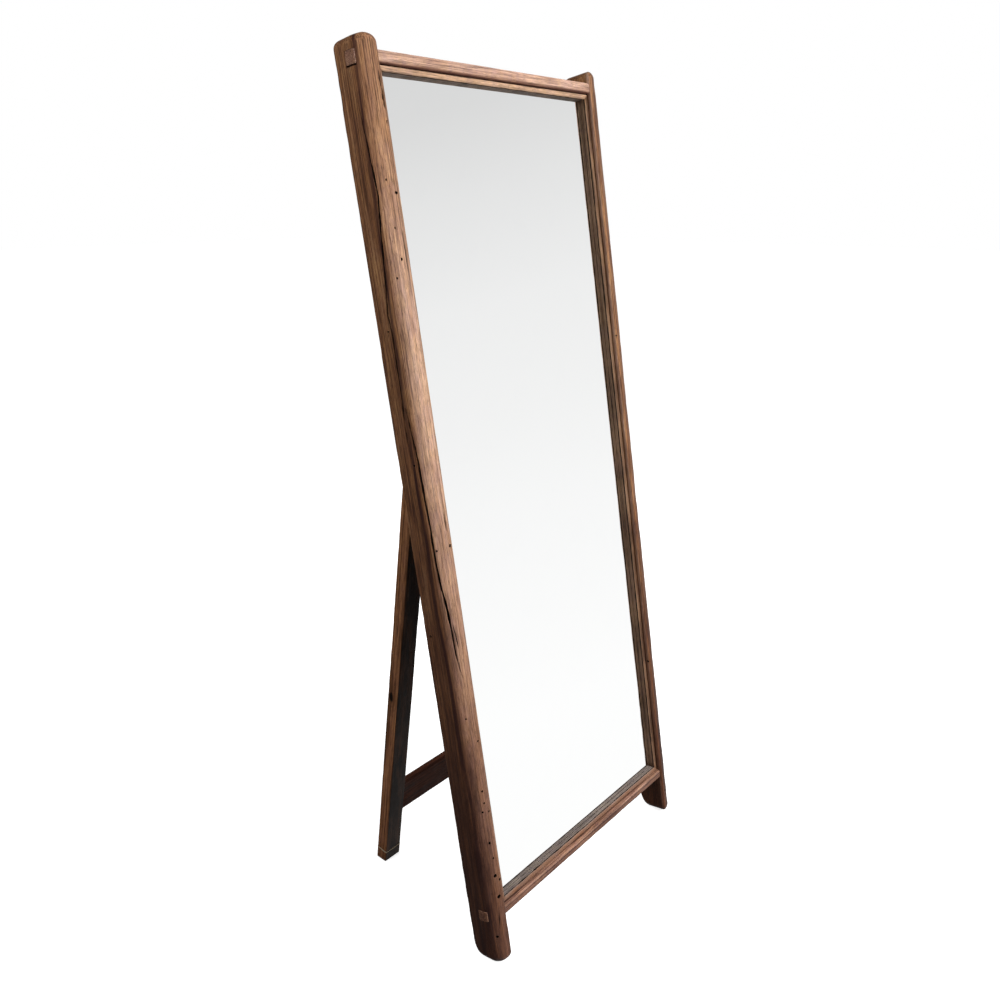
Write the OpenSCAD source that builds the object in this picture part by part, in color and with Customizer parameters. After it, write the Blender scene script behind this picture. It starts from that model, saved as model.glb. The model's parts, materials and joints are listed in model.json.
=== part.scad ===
// Leaning floor mirror: a reclaimed-wood frame with a fold-out easel behind it.
// Row frame: +Z up, the glass faces -Y, X runs across the glass, the floor is Z = 0
// and the origin is under the middle of the whole object.

/* [Posts] */
// Length of each post along its own axis
post_length = 1792; // [1400:1:2200]
// Width of each post across the front
post_width = 40; // [34:1:60]
// Depth of each post from front to back
post_depth = 72; // [68:1:100]
// Overall width over both posts
frame_width = 686; // [560:1:1000]
// Radius of the big rounded corner at the front outer edge
nose_radius = 34; // [10:1:35]
// Radius of the small arrises along a post
arris_radius = 4; // [1:0.5:5]
// Radius of a post's ends as seen from the front
end_side_radius = 19; // [5:1:19]
// Radius of a post's ends at the front face, as seen from the side
end_front_radius = 18; // [5:1:30]
// Radius at the back of a post's top end, seen from the side
end_back_radius = 12; // [5:1:35]
// Radius at the back of a post's foot, seen from the side
foot_back_radius = 40; // [24:1:44]
// How much of the lower end is worn flat where it stands on the floor
foot_wear = 1.8; // [1:0.1:4]

/* [Rails] */
// Height of the top and bottom rails
rail_height = 23; // [18:1:60]
// Depth of the rails from front to back
rail_depth = 38; // [34:1:42]
// How far the rails lie behind the front of the posts
rail_recess = 4; // [2:0.5:8]
// Radius of the rails' front arrises
rail_radius = 6; // [1:0.5:8]
// From the top of the posts down to the top edge of the top rail
top_rail_drop = 26; // [25:1:120]
// From the bottom of the posts up to the lower edge of the bottom rail
bottom_rail_rise = 100; // [60:1:200]
// Depth of the through tenons
tenon_depth = 22; // [12:1:26]
// Clearance round a tenon in its mortise
tenon_clearance = 0.2; // [0.1:0.1:0.5]
// Open gap left under the top rail's tenons
tenon_gap = 3; // [0.2:0.1:5]

/* [Glass and backing] */
// Width of the inner bead seen from the front
bead_width = 11; // [8:0.5:20]
// Depth of the bead from its front to the glass
bead_depth = 14; // [10:0.5:16]
// How far the bead lies behind the front of the posts
bead_recess = 10; // [8:0.5:12]
// Radius of the bead's front edges
bead_radius = 4; // [1:0.5:5]
// Thickness of the mirror glass
glass_thickness = 4; // [3:1:5]
// Thickness of the back board
board_thickness = 4; // [3:1:5]
// Edge clearance of the glass and the board inside the frame
glass_clearance = 1; // [0.5:0.5:2]
// Width of the strips that hold the board
strip_width = 10; // [8:1:14]
// Thickness of the strips that hold the board
strip_thickness = 8; // [6:1:8]
// Distance between brads along a strip, at most
brad_pitch = 300; // [150:10:400]
// Radius of a brad
brad_radius = 0.8; // [0.6:0.1:1.2]
// Length of a brad
brad_length = 22; // [18:1:26]

/* [Easel] */
// How far the mirror leans back from upright, in degrees
lean = 10; // [6:0.5:14]
// Angle between the open easel and the mirror, in degrees
open_angle = 18.2; // [14:0.5:24]
// Height of the hinge axis along the posts
hinge_height = 1188; // [900:1:1300]
// Width of each leg
leg_width = 46; // [42:1:60]
// Depth of each leg
leg_depth = 31; // [25:1:36]
// Gap between a post's inner face and the leg beside it
leg_inset = 18; // [12:1:60]
// Height of the stretcher between the legs
stretcher_height = 80; // [40:1:120]
// Thickness of the stretcher
stretcher_thickness = 18; // [14:1:20]
// From the foot up to the stretcher's lower edge
stretcher_rise = 128; // [126:1:400]
// Length of the stretcher's blind tenons
stretcher_tenon = 14; // [8:1:24]
// Height of the foot block at the front of a leg
foot_block_height = 26; // [16:1:40]
// Thickness of the pale shim above the foot block
foot_shim = 2.5; // [1:0.5:4]
// Radius of the long edges of the easel's parts
easel_radius = 1.5; // [0.5:0.5:3]

/* [Hinges] */
// Height of the hinge rail
hinge_rail_height = 60; // [50:1:90]
// Depth of the hinge rail
hinge_rail_depth = 29; // [27:1:29]
// Length of the hinge rail's blind tenons
hinge_rail_tenon = 16; // [10:1:24]
// Length of a hinge
hinge_length = 40; // [30:1:42]
// Width of a leaf from the hinge axis to its edge
leaf_width = 25; // [20:1:26]
// Thickness of a leaf
leaf_thickness = 2; // [1.5:0.5:2.5]
// Gap between the two leaves when the easel stands open
leaf_gap = 0.6; // [0.4:0.1:1]
// Radius of the knuckles
knuckle_radius = 3; // [2.5:0.5:3]
// Radius of the hinge pin
pin_radius = 1.5; // [1:0.1:1.8]
// Radial clearance of the pin in the knuckles
pin_clearance = 0.05; // [0.01:0.01:0.1]
// Radius of a hinge screw's shank
screw_radius = 1.7; // [1.2:0.1:2]
// Radius of a hinge screw's head
screw_head_radius = 3.4; // [2.5:0.1:3.8]
// Length of a hinge screw
screw_length = 24; // [16:1:30]

/* [Hidden] */
$fn = 64;

// Small overlap that keeps cuts clean, and a reach that is longer than anything in the model.
eps = 0.1;
far = 3000;

// Clearances round the hinges and the legs, and the number of knuckles in a hinge.
leg_gap = 1;
knuckle_gap = 0.5;
knuckle_slack = 0.3;
knuckles = 5;

// Shoulders of the blind tenons, and the small ends of the fasteners.
hinge_rail_shoulder = 10;
stretcher_shoulder = 8;
stretcher_cheek = 2;
brad_head_height = 0.8;
brad_head_seat = 0.2;
screw_tip_length = 4;
screw_tip_radius = 0.3;

// Heights along the posts.
top_rail_z = post_length - top_rail_drop - rail_height;
opening_low = bottom_rail_rise + rail_height;
opening_high = top_rail_z;
opening_height = opening_high - opening_low;

// Widths between the posts.
inner_half = frame_width / 2 - post_width;

// Depths behind the front of the posts.
glass_y = bead_recess + bead_depth;
board_y = glass_y + glass_thickness;
strip_y = board_y + board_thickness;
rail_back = rail_recess + rail_depth;
tenon_y = rail_back - tenon_depth;
leg_y = rail_back + leg_gap;
knuckle_room = knuckle_radius + knuckle_gap;
pivot_y = leg_y - knuckle_room;
hinge_rail_y = leg_y;
leaf_face = leaf_gap / 2 + leaf_thickness;
hinge_rail_z = hinge_height + leaf_face;
screw_places = [-hinge_length / 4, hinge_length / 4];
screw_y = (knuckle_room + leaf_width) / 2;
screw_head_height = screw_head_radius - screw_radius;

// Where the worn lower end of a post meets the floor: the lowest point of the back arc,
// raised by the wear, is Z = 0 once the frame leans.
end_low = foot_back_radius * cos(lean) - (post_depth - foot_back_radius) * sin(lean) - foot_back_radius;
post_rise = -(end_low + foot_wear);

// The easel in its own frame: origin on the hinge axis, -Z down the leg, +Y to the back.
stance = open_angle - lean;
pivot_drop = post_rise + hinge_height * cos(lean) - pivot_y * sin(lean);
foot_front = (pivot_drop + knuckle_room * sin(stance)) / cos(stance);
leg_cut = foot_front - foot_block_height;
leg_x = inner_half - leg_inset - leg_width;
leg_mid = leg_x + leg_width / 2;
stretcher_low = -foot_front + stretcher_rise;
stretcher_y = knuckle_room + (leg_depth - stretcher_thickness) / 2;

// The object's front and back at rest set where its middle is.
nose_y = end_front_radius * (sin(lean) + cos(lean) - 1);
pivot_back = hinge_height * sin(lean) + pivot_y * cos(lean);
foot_back = pivot_back + pivot_drop * tan(stance) + (knuckle_room + leg_depth) / cos(stance);
frame_y = -(nose_y + foot_back) / 2;

// All four long edges of the easel's bars are softened alike.
soft = [easel_radius, easel_radius, easel_radius, easel_radius];

wood_warm = [0.52, 0.35, 0.22];
wood_mid = [0.45, 0.30, 0.19];
wood_dark = [0.22, 0.14, 0.09];
wood_pale = [0.60, 0.46, 0.34];
board_brown = [0.48, 0.37, 0.26];
shim_pale = [0.72, 0.66, 0.58];
steel = [0.62, 0.62, 0.60];

// Places a child drawn in the mirror frame's own axes: Z along the posts, Y from front to back.
module leaned() {
    translate([0, frame_y, post_rise]) rotate([-lean, 0, 0]) children();
}

// Places a child drawn in the easel's own axes.
module on_easel() {
    leaned() translate([0, pivot_y, hinge_height]) rotate([open_angle, 0, 0]) children();
}

// Places a child drawn on the closed hinge: the mirror frame's axes with the pivot as origin.
module on_hinge() {
    leaned() translate([0, pivot_y, hinge_height]) children();
}

// What a square corner loses when it is rounded, with the corner at the origin.
module corner_waste(r) {
    difference() {
        translate([-eps, -eps]) square(r + eps);
        translate([r, r]) circle(r);
    }
}

// A rectangle whose corners are rounded in turn: low-low, high-low, high-high, low-high.
module rounded_rect(w, h, radii) {
    difference() {
        square([w, h]);
        corner_waste(radii[0]);
        translate([w, 0]) mirror([1, 0]) corner_waste(radii[1]);
        translate([w, h]) mirror([1, 0]) mirror([0, 1]) corner_waste(radii[2]);
        translate([0, h]) mirror([0, 1]) corner_waste(radii[3]);
    }
}

// A bar along +X: size is [length, depth, height], radii round its section.
module bar_x(size, radii) {
    rotate([90, 0, 90]) linear_extrude(size[0]) rounded_rect(size[1], size[2], radii);
}

// A bar along +Z: size is [width, depth, length], radii round its section.
module bar_z(size, radii) {
    linear_extrude(size[2]) rounded_rect(size[0], size[1], radii);
}

// The section of the right-hand post, its inner face on X = 0.
module post_section() {
    rounded_rect(post_width, post_depth, [arris_radius, nose_radius, arris_radius, arris_radius]);
}

// The whole right-hand post before its mortises, inner face on X = 0.
module post_blank() {
    intersection() {
        linear_extrude(post_length) post_section();
        rotate([90, 0, 90]) linear_extrude(post_width)
            rounded_rect(post_depth, post_length,
                [end_front_radius, foot_back_radius, end_back_radius, end_front_radius]);
        translate([0, post_depth, 0]) rotate([90, 0, 0]) linear_extrude(post_depth)
            rounded_rect(post_width, post_length,
                [end_side_radius, end_side_radius, end_side_radius, end_side_radius]);
    }
}

// Room for one through tenon, with the given extra height left open under it.
module mortise(z, gap) {
    translate([-eps, tenon_y - tenon_clearance, z - gap])
        cube([post_width + 2 * eps, tenon_depth + 2 * tenon_clearance, rail_height + gap + tenon_clearance]);
}

module hinge_rail_mortise() {
    translate([
        -eps,
        hinge_rail_y + easel_radius - tenon_clearance,
        hinge_rail_z + hinge_rail_shoulder - tenon_clearance
    ])
        cube([
            hinge_rail_tenon + eps + tenon_clearance,
            hinge_rail_depth - 2 * easel_radius + 2 * tenon_clearance,
            hinge_rail_height - 2 * hinge_rail_shoulder + 2 * tenon_clearance
        ]);
}

// The right-hand post, cut and standing in the mirror frame's axes.
module post() {
    translate([inner_half, 0, 0]) difference() {
        post_blank();
        mortise(top_rail_z, tenon_gap);
        mortise(bottom_rail_rise, tenon_clearance);
        hinge_rail_mortise();
        translate([-eps, 0, -post_rise / cos(lean)]) rotate([lean, 0, 0])
            translate([0, -far / 2, -far]) cube([post_width + 2 * eps, far, far]);
    }
}

module left_post() {
    color(wood_warm) leaned() mirror([1, 0, 0]) post();
}

module right_post() {
    color(wood_warm) leaned() post();
}

// A rail between the posts, its tenon ends trimmed to the posts' rounded faces.
module rail(z) {
    translate([-inner_half, rail_recess, z])
        bar_x([2 * inner_half, rail_depth, rail_height],
            [rail_radius, easel_radius, easel_radius, rail_radius]);
    for (side = [0, 1]) mirror([side, 0, 0]) translate([inner_half, 0, 0]) intersection() {
        translate([-eps, tenon_y, z]) cube([post_width + eps, tenon_depth, rail_height]);
        translate([-eps, 0, z]) linear_extrude(rail_height) {
            translate([eps, 0]) post_section();
            translate([0, tenon_y]) square([arris_radius, tenon_depth]);
        }
    }
}

module top_rail() {
    color(wood_mid) leaned() rail(top_rail_z);
}

module bottom_rail() {
    color(wood_mid) leaned() rail(bottom_rail_rise);
}

// A length of bead along +X, mitred at both ends, its outer edge on Z = 0.
module bead(length) {
    difference() {
        translate([-length / 2, bead_recess, 0])
            bar_x([length, bead_depth, bead_width], [bead_radius, 0, 0, bead_radius]);
        for (side = [0, 1]) mirror([side, 0, 0]) translate([length / 2, 0, 0]) rotate([0, -45, 0])
            translate([0, -eps, -far / 2]) cube([far, post_depth, far]);
    }
}

module bead_top() {
    color(wood_pale) leaned() translate([0, 0, opening_high]) mirror([0, 0, 1]) bead(2 * inner_half);
}

module bead_bottom() {
    color(wood_pale) leaned() translate([0, 0, opening_low]) bead(2 * inner_half);
}

module side_bead() {
    translate([inner_half, 0, (opening_low + opening_high) / 2]) rotate([0, -90, 0]) bead(opening_height);
}

module bead_left() {
    color(wood_pale) leaned() mirror([1, 0, 0]) side_bead();
}

module bead_right() {
    color(wood_pale) leaned() side_bead();
}

// A sheet that fills the frame behind the beads.
module sheet(y, thickness) {
    translate([-inner_half + glass_clearance, y, opening_low + glass_clearance])
        cube([
            2 * (inner_half - glass_clearance),
            thickness,
            opening_height - 2 * glass_clearance
        ]);
}

module mirror_glass() {
    color([0.85, 0.88, 0.88]) leaned() sheet(glass_y, glass_thickness);
}

module back_board() {
    color(board_brown) leaned() sheet(board_y, board_thickness);
}

// A retaining strip along +X that fills the frame's width, its outer edge on Z = 0.
module strip_across() {
    translate([-inner_half, strip_y, 0])
        bar_x([2 * inner_half, strip_thickness, strip_width], [0, 0, easel_radius, 0]);
}

module strip_upright() {
    translate([inner_half - strip_width, strip_y, opening_low + strip_width])
        bar_z([strip_width, strip_thickness, opening_height - 2 * strip_width], [0, 0, 0, easel_radius]);
}

module strip_top() {
    color(wood_pale) leaned() translate([0, 0, opening_high]) mirror([0, 0, 1]) strip_across();
}

module strip_bottom() {
    color(wood_pale) leaned() translate([0, 0, opening_low]) strip_across();
}

module strip_left() {
    color(wood_pale) leaned() mirror([1, 0, 0]) strip_upright();
}

module strip_right() {
    color(wood_pale) leaned() strip_upright();
}

// A brad along +X with its head just proud of X = 0.
module brad() {
    rotate([0, 90, 0]) cylinder(h = brad_length, r = brad_radius);
    rotate([0, 90, 0]) translate([0, 0, brad_head_seat - brad_head_height])
        cylinder(h = brad_head_height, r = 2 * brad_radius);
}

// Places brads evenly between two ends of a run.
function brad_places(run) = let (n = ceil(run / brad_pitch)) [for (i = [0.5:1:n]) i * run / n];

module strip_brads() {
    color(steel) leaned() translate([0, strip_y + strip_thickness / 2, 0]) {
        for (side = [0, 1], z = brad_places(opening_height)) mirror([side, 0, 0])
            translate([inner_half - strip_width, 0, opening_low + z]) brad();
        for (x = brad_places(2 * inner_half)) {
            translate([x - inner_half, 0, opening_high - strip_width]) rotate([0, -90, 0]) brad();
            translate([x - inner_half, 0, opening_low + strip_width]) rotate([0, 90, 0]) brad();
        }
    }
}

module hinge_rail() {
    color(wood_dark) leaned() translate([0, hinge_rail_y, hinge_rail_z]) {
        translate([-inner_half, 0, 0]) bar_x([2 * inner_half, hinge_rail_depth, hinge_rail_height], soft);
        translate([-inner_half - hinge_rail_tenon, easel_radius, hinge_rail_shoulder])
            cube([
                2 * (inner_half + hinge_rail_tenon),
                hinge_rail_depth - 2 * easel_radius,
                hinge_rail_height - 2 * hinge_rail_shoulder
            ]);
    }
}

// One leaf seen from the pivot, lying over the pivot plane, with every other knuckle
// starting from the given one. The hinge runs along X and is centred on the leg.
module leaf(first) {
    pitch = hinge_length / knuckles;
    difference() {
        union() {
            translate([-hinge_length / 2, knuckle_room, leaf_gap / 2])
                cube([hinge_length, leaf_width - knuckle_room, leaf_thickness]);
            for (i = [first:2:knuckles - 1])
                translate([-hinge_length / 2 + i * pitch + knuckle_slack / 2, 0, 0]) {
                    rotate([0, 90, 0]) cylinder(h = pitch - knuckle_slack, r = knuckle_radius);
                    translate([0, 0, leaf_gap / 2])
                        cube([pitch - knuckle_slack, knuckle_room + eps, leaf_thickness]);
                }
        }
        translate([-hinge_length, 0, 0]) rotate([0, 90, 0])
            cylinder(h = 2 * hinge_length, r = pin_radius + pin_clearance);
        for (x = screw_places) translate([x, screw_y, leaf_gap / 2 - eps]) {
            cylinder(h = leaf_thickness + 2 * eps, r = screw_radius + eps);
            cylinder(h = screw_head_height + 2 * eps, r1 = screw_head_radius + 2 * eps, r2 = screw_radius);
        }
    }
}

// A countersunk wood screw pointing up from the open face of an upper leaf.
module screw() {
    translate([0, 0, leaf_gap / 2]) {
        cylinder(h = screw_head_height, r1 = screw_head_radius, r2 = screw_radius);
        cylinder(h = screw_length - screw_tip_length, r = screw_radius);
        translate([0, 0, screw_length - screw_tip_length])
            cylinder(h = screw_tip_length, r1 = screw_radius, r2 = screw_tip_radius);
    }
}

module left_hinge_rail_leaf() {
    color(steel) on_hinge() translate([-leg_mid, 0, 0]) leaf(0);
}

module right_hinge_rail_leaf() {
    color(steel) on_hinge() translate([leg_mid, 0, 0]) leaf(0);
}

module left_hinge_leg_leaf() {
    color(steel) on_hinge() translate([-leg_mid, 0, 0]) mirror([0, 0, 1]) leaf(1);
}

module right_hinge_leg_leaf() {
    color(steel) on_hinge() translate([leg_mid, 0, 0]) mirror([0, 0, 1]) leaf(1);
}

module hinge_pins() {
    color(steel) on_hinge() for (x = [-leg_mid, leg_mid]) translate([x - hinge_length / 2, 0, 0])
        rotate([0, 90, 0]) cylinder(h = hinge_length, r = pin_radius);
}

module hinge_rail_screws() {
    color(steel) on_hinge() for (side = [-1, 1], x = screw_places)
        translate([side * leg_mid + x, screw_y, 0]) screw();
}

module hinge_leg_screws() {
    color(steel) on_hinge() for (side = [-1, 1], x = screw_places)
        translate([side * leg_mid + x, screw_y, 0]) mirror([0, 0, 1]) screw();
}

// A right-hand leg's stock in the easel's axes, from one height to another.
module leg_stock(low, high) {
    translate([leg_x, knuckle_room, low]) bar_z([leg_width, leg_depth, high - low], soft);
}

// The leg: mitred at the top to sit under the hinge rail, mortised for the stretcher.
module leg() {
    difference() {
        leg_stock(-leg_cut + foot_shim, leg_depth);
        rotate([-open_angle, 0, 0]) translate([0, -far / 2, -leaf_face]) cube([far, far, far]);
        translate([
            leg_x - eps,
            stretcher_y + stretcher_cheek - tenon_clearance,
            stretcher_low + stretcher_shoulder - tenon_clearance
        ])
            cube([
                stretcher_tenon + eps + tenon_clearance,
                stretcher_thickness - 2 * stretcher_cheek + 2 * tenon_clearance,
                stretcher_height - 2 * stretcher_shoulder + 2 * tenon_clearance
            ]);
    }
}

module left_leg() {
    color(wood_dark) on_easel() mirror([1, 0, 0]) leg();
}

module right_leg() {
    color(wood_dark) on_easel() leg();
}

module stretcher() {
    color(wood_dark) on_easel() translate([0, stretcher_y, stretcher_low]) {
        translate([-leg_x, 0, 0]) bar_x([2 * leg_x, stretcher_thickness, stretcher_height], soft);
        translate([-leg_x - stretcher_tenon, stretcher_cheek, stretcher_shoulder])
            cube([
                2 * (leg_x + stretcher_tenon),
                stretcher_thickness - 2 * stretcher_cheek,
                stretcher_height - 2 * stretcher_shoulder
            ]);
    }
}

module foot_shim_plate() {
    leg_stock(-leg_cut, -leg_cut + foot_shim);
}

// The foot block, cut level with the floor while the easel stands open.
module foot_block() {
    difference() {
        leg_stock(-foot_front - leg_depth, -leg_cut);
        translate([0, knuckle_room, -foot_front]) rotate([-stance, 0, 0])
            translate([0, -far / 2, -far]) cube([far, far, far]);
    }
}

module left_foot_block() {
    color(wood_dark) on_easel() mirror([1, 0, 0]) foot_block();
}

module right_foot_block() {
    color(wood_dark) on_easel() foot_block();
}

module left_foot_shim() {
    color(shim_pale) on_easel() mirror([1, 0, 0]) foot_shim_plate();
}

module right_foot_shim() {
    color(shim_pale) on_easel() foot_shim_plate();
}

left_post();
right_post();
top_rail();
bottom_rail();
bead_top();
bead_bottom();
bead_left();
bead_right();
mirror_glass();
back_board();
strip_top();
strip_bottom();
strip_left();
strip_right();
strip_brads();
hinge_rail();
left_hinge_rail_leaf();
right_hinge_rail_leaf();
hinge_pins();
hinge_rail_screws();
left_leg();
right_leg();
stretcher();
left_foot_block();
right_foot_block();
left_foot_shim();
right_foot_shim();
left_hinge_leg_leaf();
right_hinge_leg_leaf();
hinge_leg_screws();
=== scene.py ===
# Leaning floor mirror on an easel back: the looks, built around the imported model
import bisect
import json
import math
import bmesh
import bpy
from mathutils import Matrix, Vector, noise


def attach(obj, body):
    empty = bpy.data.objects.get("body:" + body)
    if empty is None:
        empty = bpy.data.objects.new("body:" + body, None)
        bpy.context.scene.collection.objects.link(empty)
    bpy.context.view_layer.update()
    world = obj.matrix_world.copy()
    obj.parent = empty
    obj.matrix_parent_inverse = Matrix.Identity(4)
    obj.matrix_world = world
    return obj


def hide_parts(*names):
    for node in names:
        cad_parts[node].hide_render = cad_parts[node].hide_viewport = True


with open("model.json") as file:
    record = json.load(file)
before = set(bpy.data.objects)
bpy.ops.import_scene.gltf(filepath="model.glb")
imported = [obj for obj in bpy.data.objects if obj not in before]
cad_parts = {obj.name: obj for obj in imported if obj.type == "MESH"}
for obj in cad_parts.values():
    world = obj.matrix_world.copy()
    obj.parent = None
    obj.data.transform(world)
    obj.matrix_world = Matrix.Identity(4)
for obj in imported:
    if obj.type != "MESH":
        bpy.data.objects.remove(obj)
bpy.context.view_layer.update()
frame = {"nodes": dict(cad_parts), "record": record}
record = frame["record"]
mm = 0.001


# camera
cameraValues = {
    "place": (-1.4075, -1.1477, 1.5007),
    "yaw": 49.01,        # from +Y towards +X
    "down": 18.74,
    "lens": 31.78,
}


def addCamera(values):
    data = bpy.data.cameras.new("camera")
    data.lens = values["lens"]
    data.sensor_width = 36
    data.clip_start = 0.02
    camera = bpy.data.objects.new("camera", data)
    camera.location = values["place"]
    camera.rotation_euler = (math.radians(90 - values["down"]), 0, -math.radians(values["yaw"]))
    bpy.context.scene.collection.objects.link(camera)
    bpy.context.scene.camera = camera


addCamera(cameraValues)
print("camera placed")


# small helpers for node trees

def rgb(red, green, blue):
    # screen colour 0-255 to the linear colour that shaders use
    def linear(value):
        value = value / 255
        return value / 12.92 if value <= 0.04045 else ((value + 0.055) / 1.055) ** 2.4
    return (linear(red), linear(green), linear(blue), 1)


def addNode(tree, kind, inputs=None, **settings):
    node = tree.nodes.new(kind)
    for key, value in settings.items():
        setattr(node, key, value)
    for key, value in (inputs or {}).items():
        if isinstance(value, bpy.types.NodeSocket):
            tree.links.new(value, node.inputs[key])
        else:
            node.inputs[key].default_value = value
    return node


def maths(tree, operation, first, second=0.5, third=0.5, clamp=False):
    inputs = {0: first, 1: second, 2: third}
    return addNode(tree, "ShaderNodeMath", inputs, operation=operation, use_clamp=clamp).outputs[0]


def vectorMaths(tree, operation, inputs, output=0):
    return addNode(tree, "ShaderNodeVectorMath", inputs, operation=operation).outputs[output]


def mixColour(tree, factor, first, second, blend="MIX"):
    inputs = {0: factor, 6: first, 7: second}
    return addNode(tree, "ShaderNodeMix", inputs, data_type="RGBA", blend_type=blend).outputs[2]


def multiply(tree, first, second):
    # one colour tinted by another
    return mixColour(tree, 1.0, first, second, "MULTIPLY")


def grey(tree, value):
    return addNode(tree, "ShaderNodeCombineColor", {0: value, 1: value, 2: value}).outputs[0]


def spread(tree, value, low, high, toLow=0.0, toHigh=1.0):
    inputs = {0: value, 1: low, 2: high, 3: toLow, 4: toHigh}
    return addNode(tree, "ShaderNodeMapRange", inputs).outputs[0]


def colourRamp(tree, factor, stops):
    node = addNode(tree, "ShaderNodeValToRGB", {0: factor})
    ramp = node.color_ramp
    while len(ramp.elements) < len(stops):
        ramp.elements.new(0.5)
    for element, (place, colour) in zip(ramp.elements, stops):
        element.position = place
        element.color = colour
    return node.outputs[0]


def stretched(tree, vector, scale):
    return addNode(tree, "ShaderNodeMapping", {"Vector": vector, "Scale": scale}).outputs[0]


def noiseOf(tree, vector, detail=2.0, roughness=0.5, distortion=0.0):
    inputs = {"Vector": vector, "Scale": 1.0, "Detail": detail, "Roughness": roughness,
              "Distortion": distortion}
    return addNode(tree, "ShaderNodeTexNoise", inputs).outputs[0]


def newGroup(name, ins, outs):
    group = bpy.data.node_groups.new(name, "ShaderNodeTree")
    for label, kind, value in ins:
        socket = group.interface.new_socket(label, in_out="INPUT", socket_type=kind)
        if value is not None:
            socket.default_value = value
    for label, kind in outs:
        group.interface.new_socket(label, in_out="OUTPUT", socket_type=kind)
    return group, group.nodes.new("NodeGroupInput").outputs, group.nodes.new("NodeGroupOutput").inputs


def useGroup(tree, group, inputs):
    return addNode(tree, "ShaderNodeGroup", inputs, node_tree=group).outputs


# effects that the woods and metals share

def makeGrainGroup():
    # streaks, fine fibre and slow blotches, all drawn out along Z
    group, given, out = newGroup("grainLines", [
        ("Vector", "NodeSocketVector", None),
        ("Ring Size", "NodeSocketFloat", 0.006),
        ("Fibre Size", "NodeSocketFloat", 0.0012),
        ("Wander", "NodeSocketFloat", 0.004),
    ], [("Streak", "NodeSocketFloat"), ("Fibre", "NodeSocketFloat"), ("Blotch", "NodeSocketFloat"),
        ("Pores", "NodeSocketFloat"), ("Height", "NodeSocketFloat")])
    slow = addNode(group, "ShaderNodeTexNoise", {
        "Vector": stretched(group, given["Vector"], (9, 9, 3.2)), "Scale": 1.0, "Detail": 2.0,
    })
    drift = vectorMaths(group, "SUBTRACT", {0: slow.outputs[1], 1: (0.5, 0.5, 0.5)})
    sway = vectorMaths(group, "SCALE", {0: drift, 3: given["Wander"]})
    bent = vectorMaths(group, "ADD", {0: given["Vector"], 1: sway})

    def drawn(size, length):
        across = maths(group, "DIVIDE", 1.0, size)
        along = maths(group, "DIVIDE", across, length)
        scale = addNode(group, "ShaderNodeCombineXYZ", {0: across, 1: across, 2: along}).outputs[0]
        return vectorMaths(group, "MULTIPLY", {0: bent, 1: scale})

    streak = noiseOf(group, drawn(given["Ring Size"], 75.0), 4.0, 0.6)
    fibre = noiseOf(group, drawn(given["Fibre Size"], 30.0), 3.0, 0.65)
    blotch = noiseOf(group, stretched(group, bent, (55, 55, 9)), 5.0, 0.62)
    pores = spread(group, noiseOf(group, stretched(group, bent, (1000, 1000, 90)), 1.0), 0.62, 0.7)
    height = maths(group, "MULTIPLY_ADD", fibre, 0.45, maths(group, "MULTIPLY", streak, 0.55))
    height = maths(group, "MULTIPLY_ADD", pores, -0.3, height)
    for label, value in (("Streak", streak), ("Fibre", fibre), ("Blotch", blotch),
                         ("Pores", pores), ("Height", height)):
        group.links.new(value, out[label])
    return group


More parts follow.
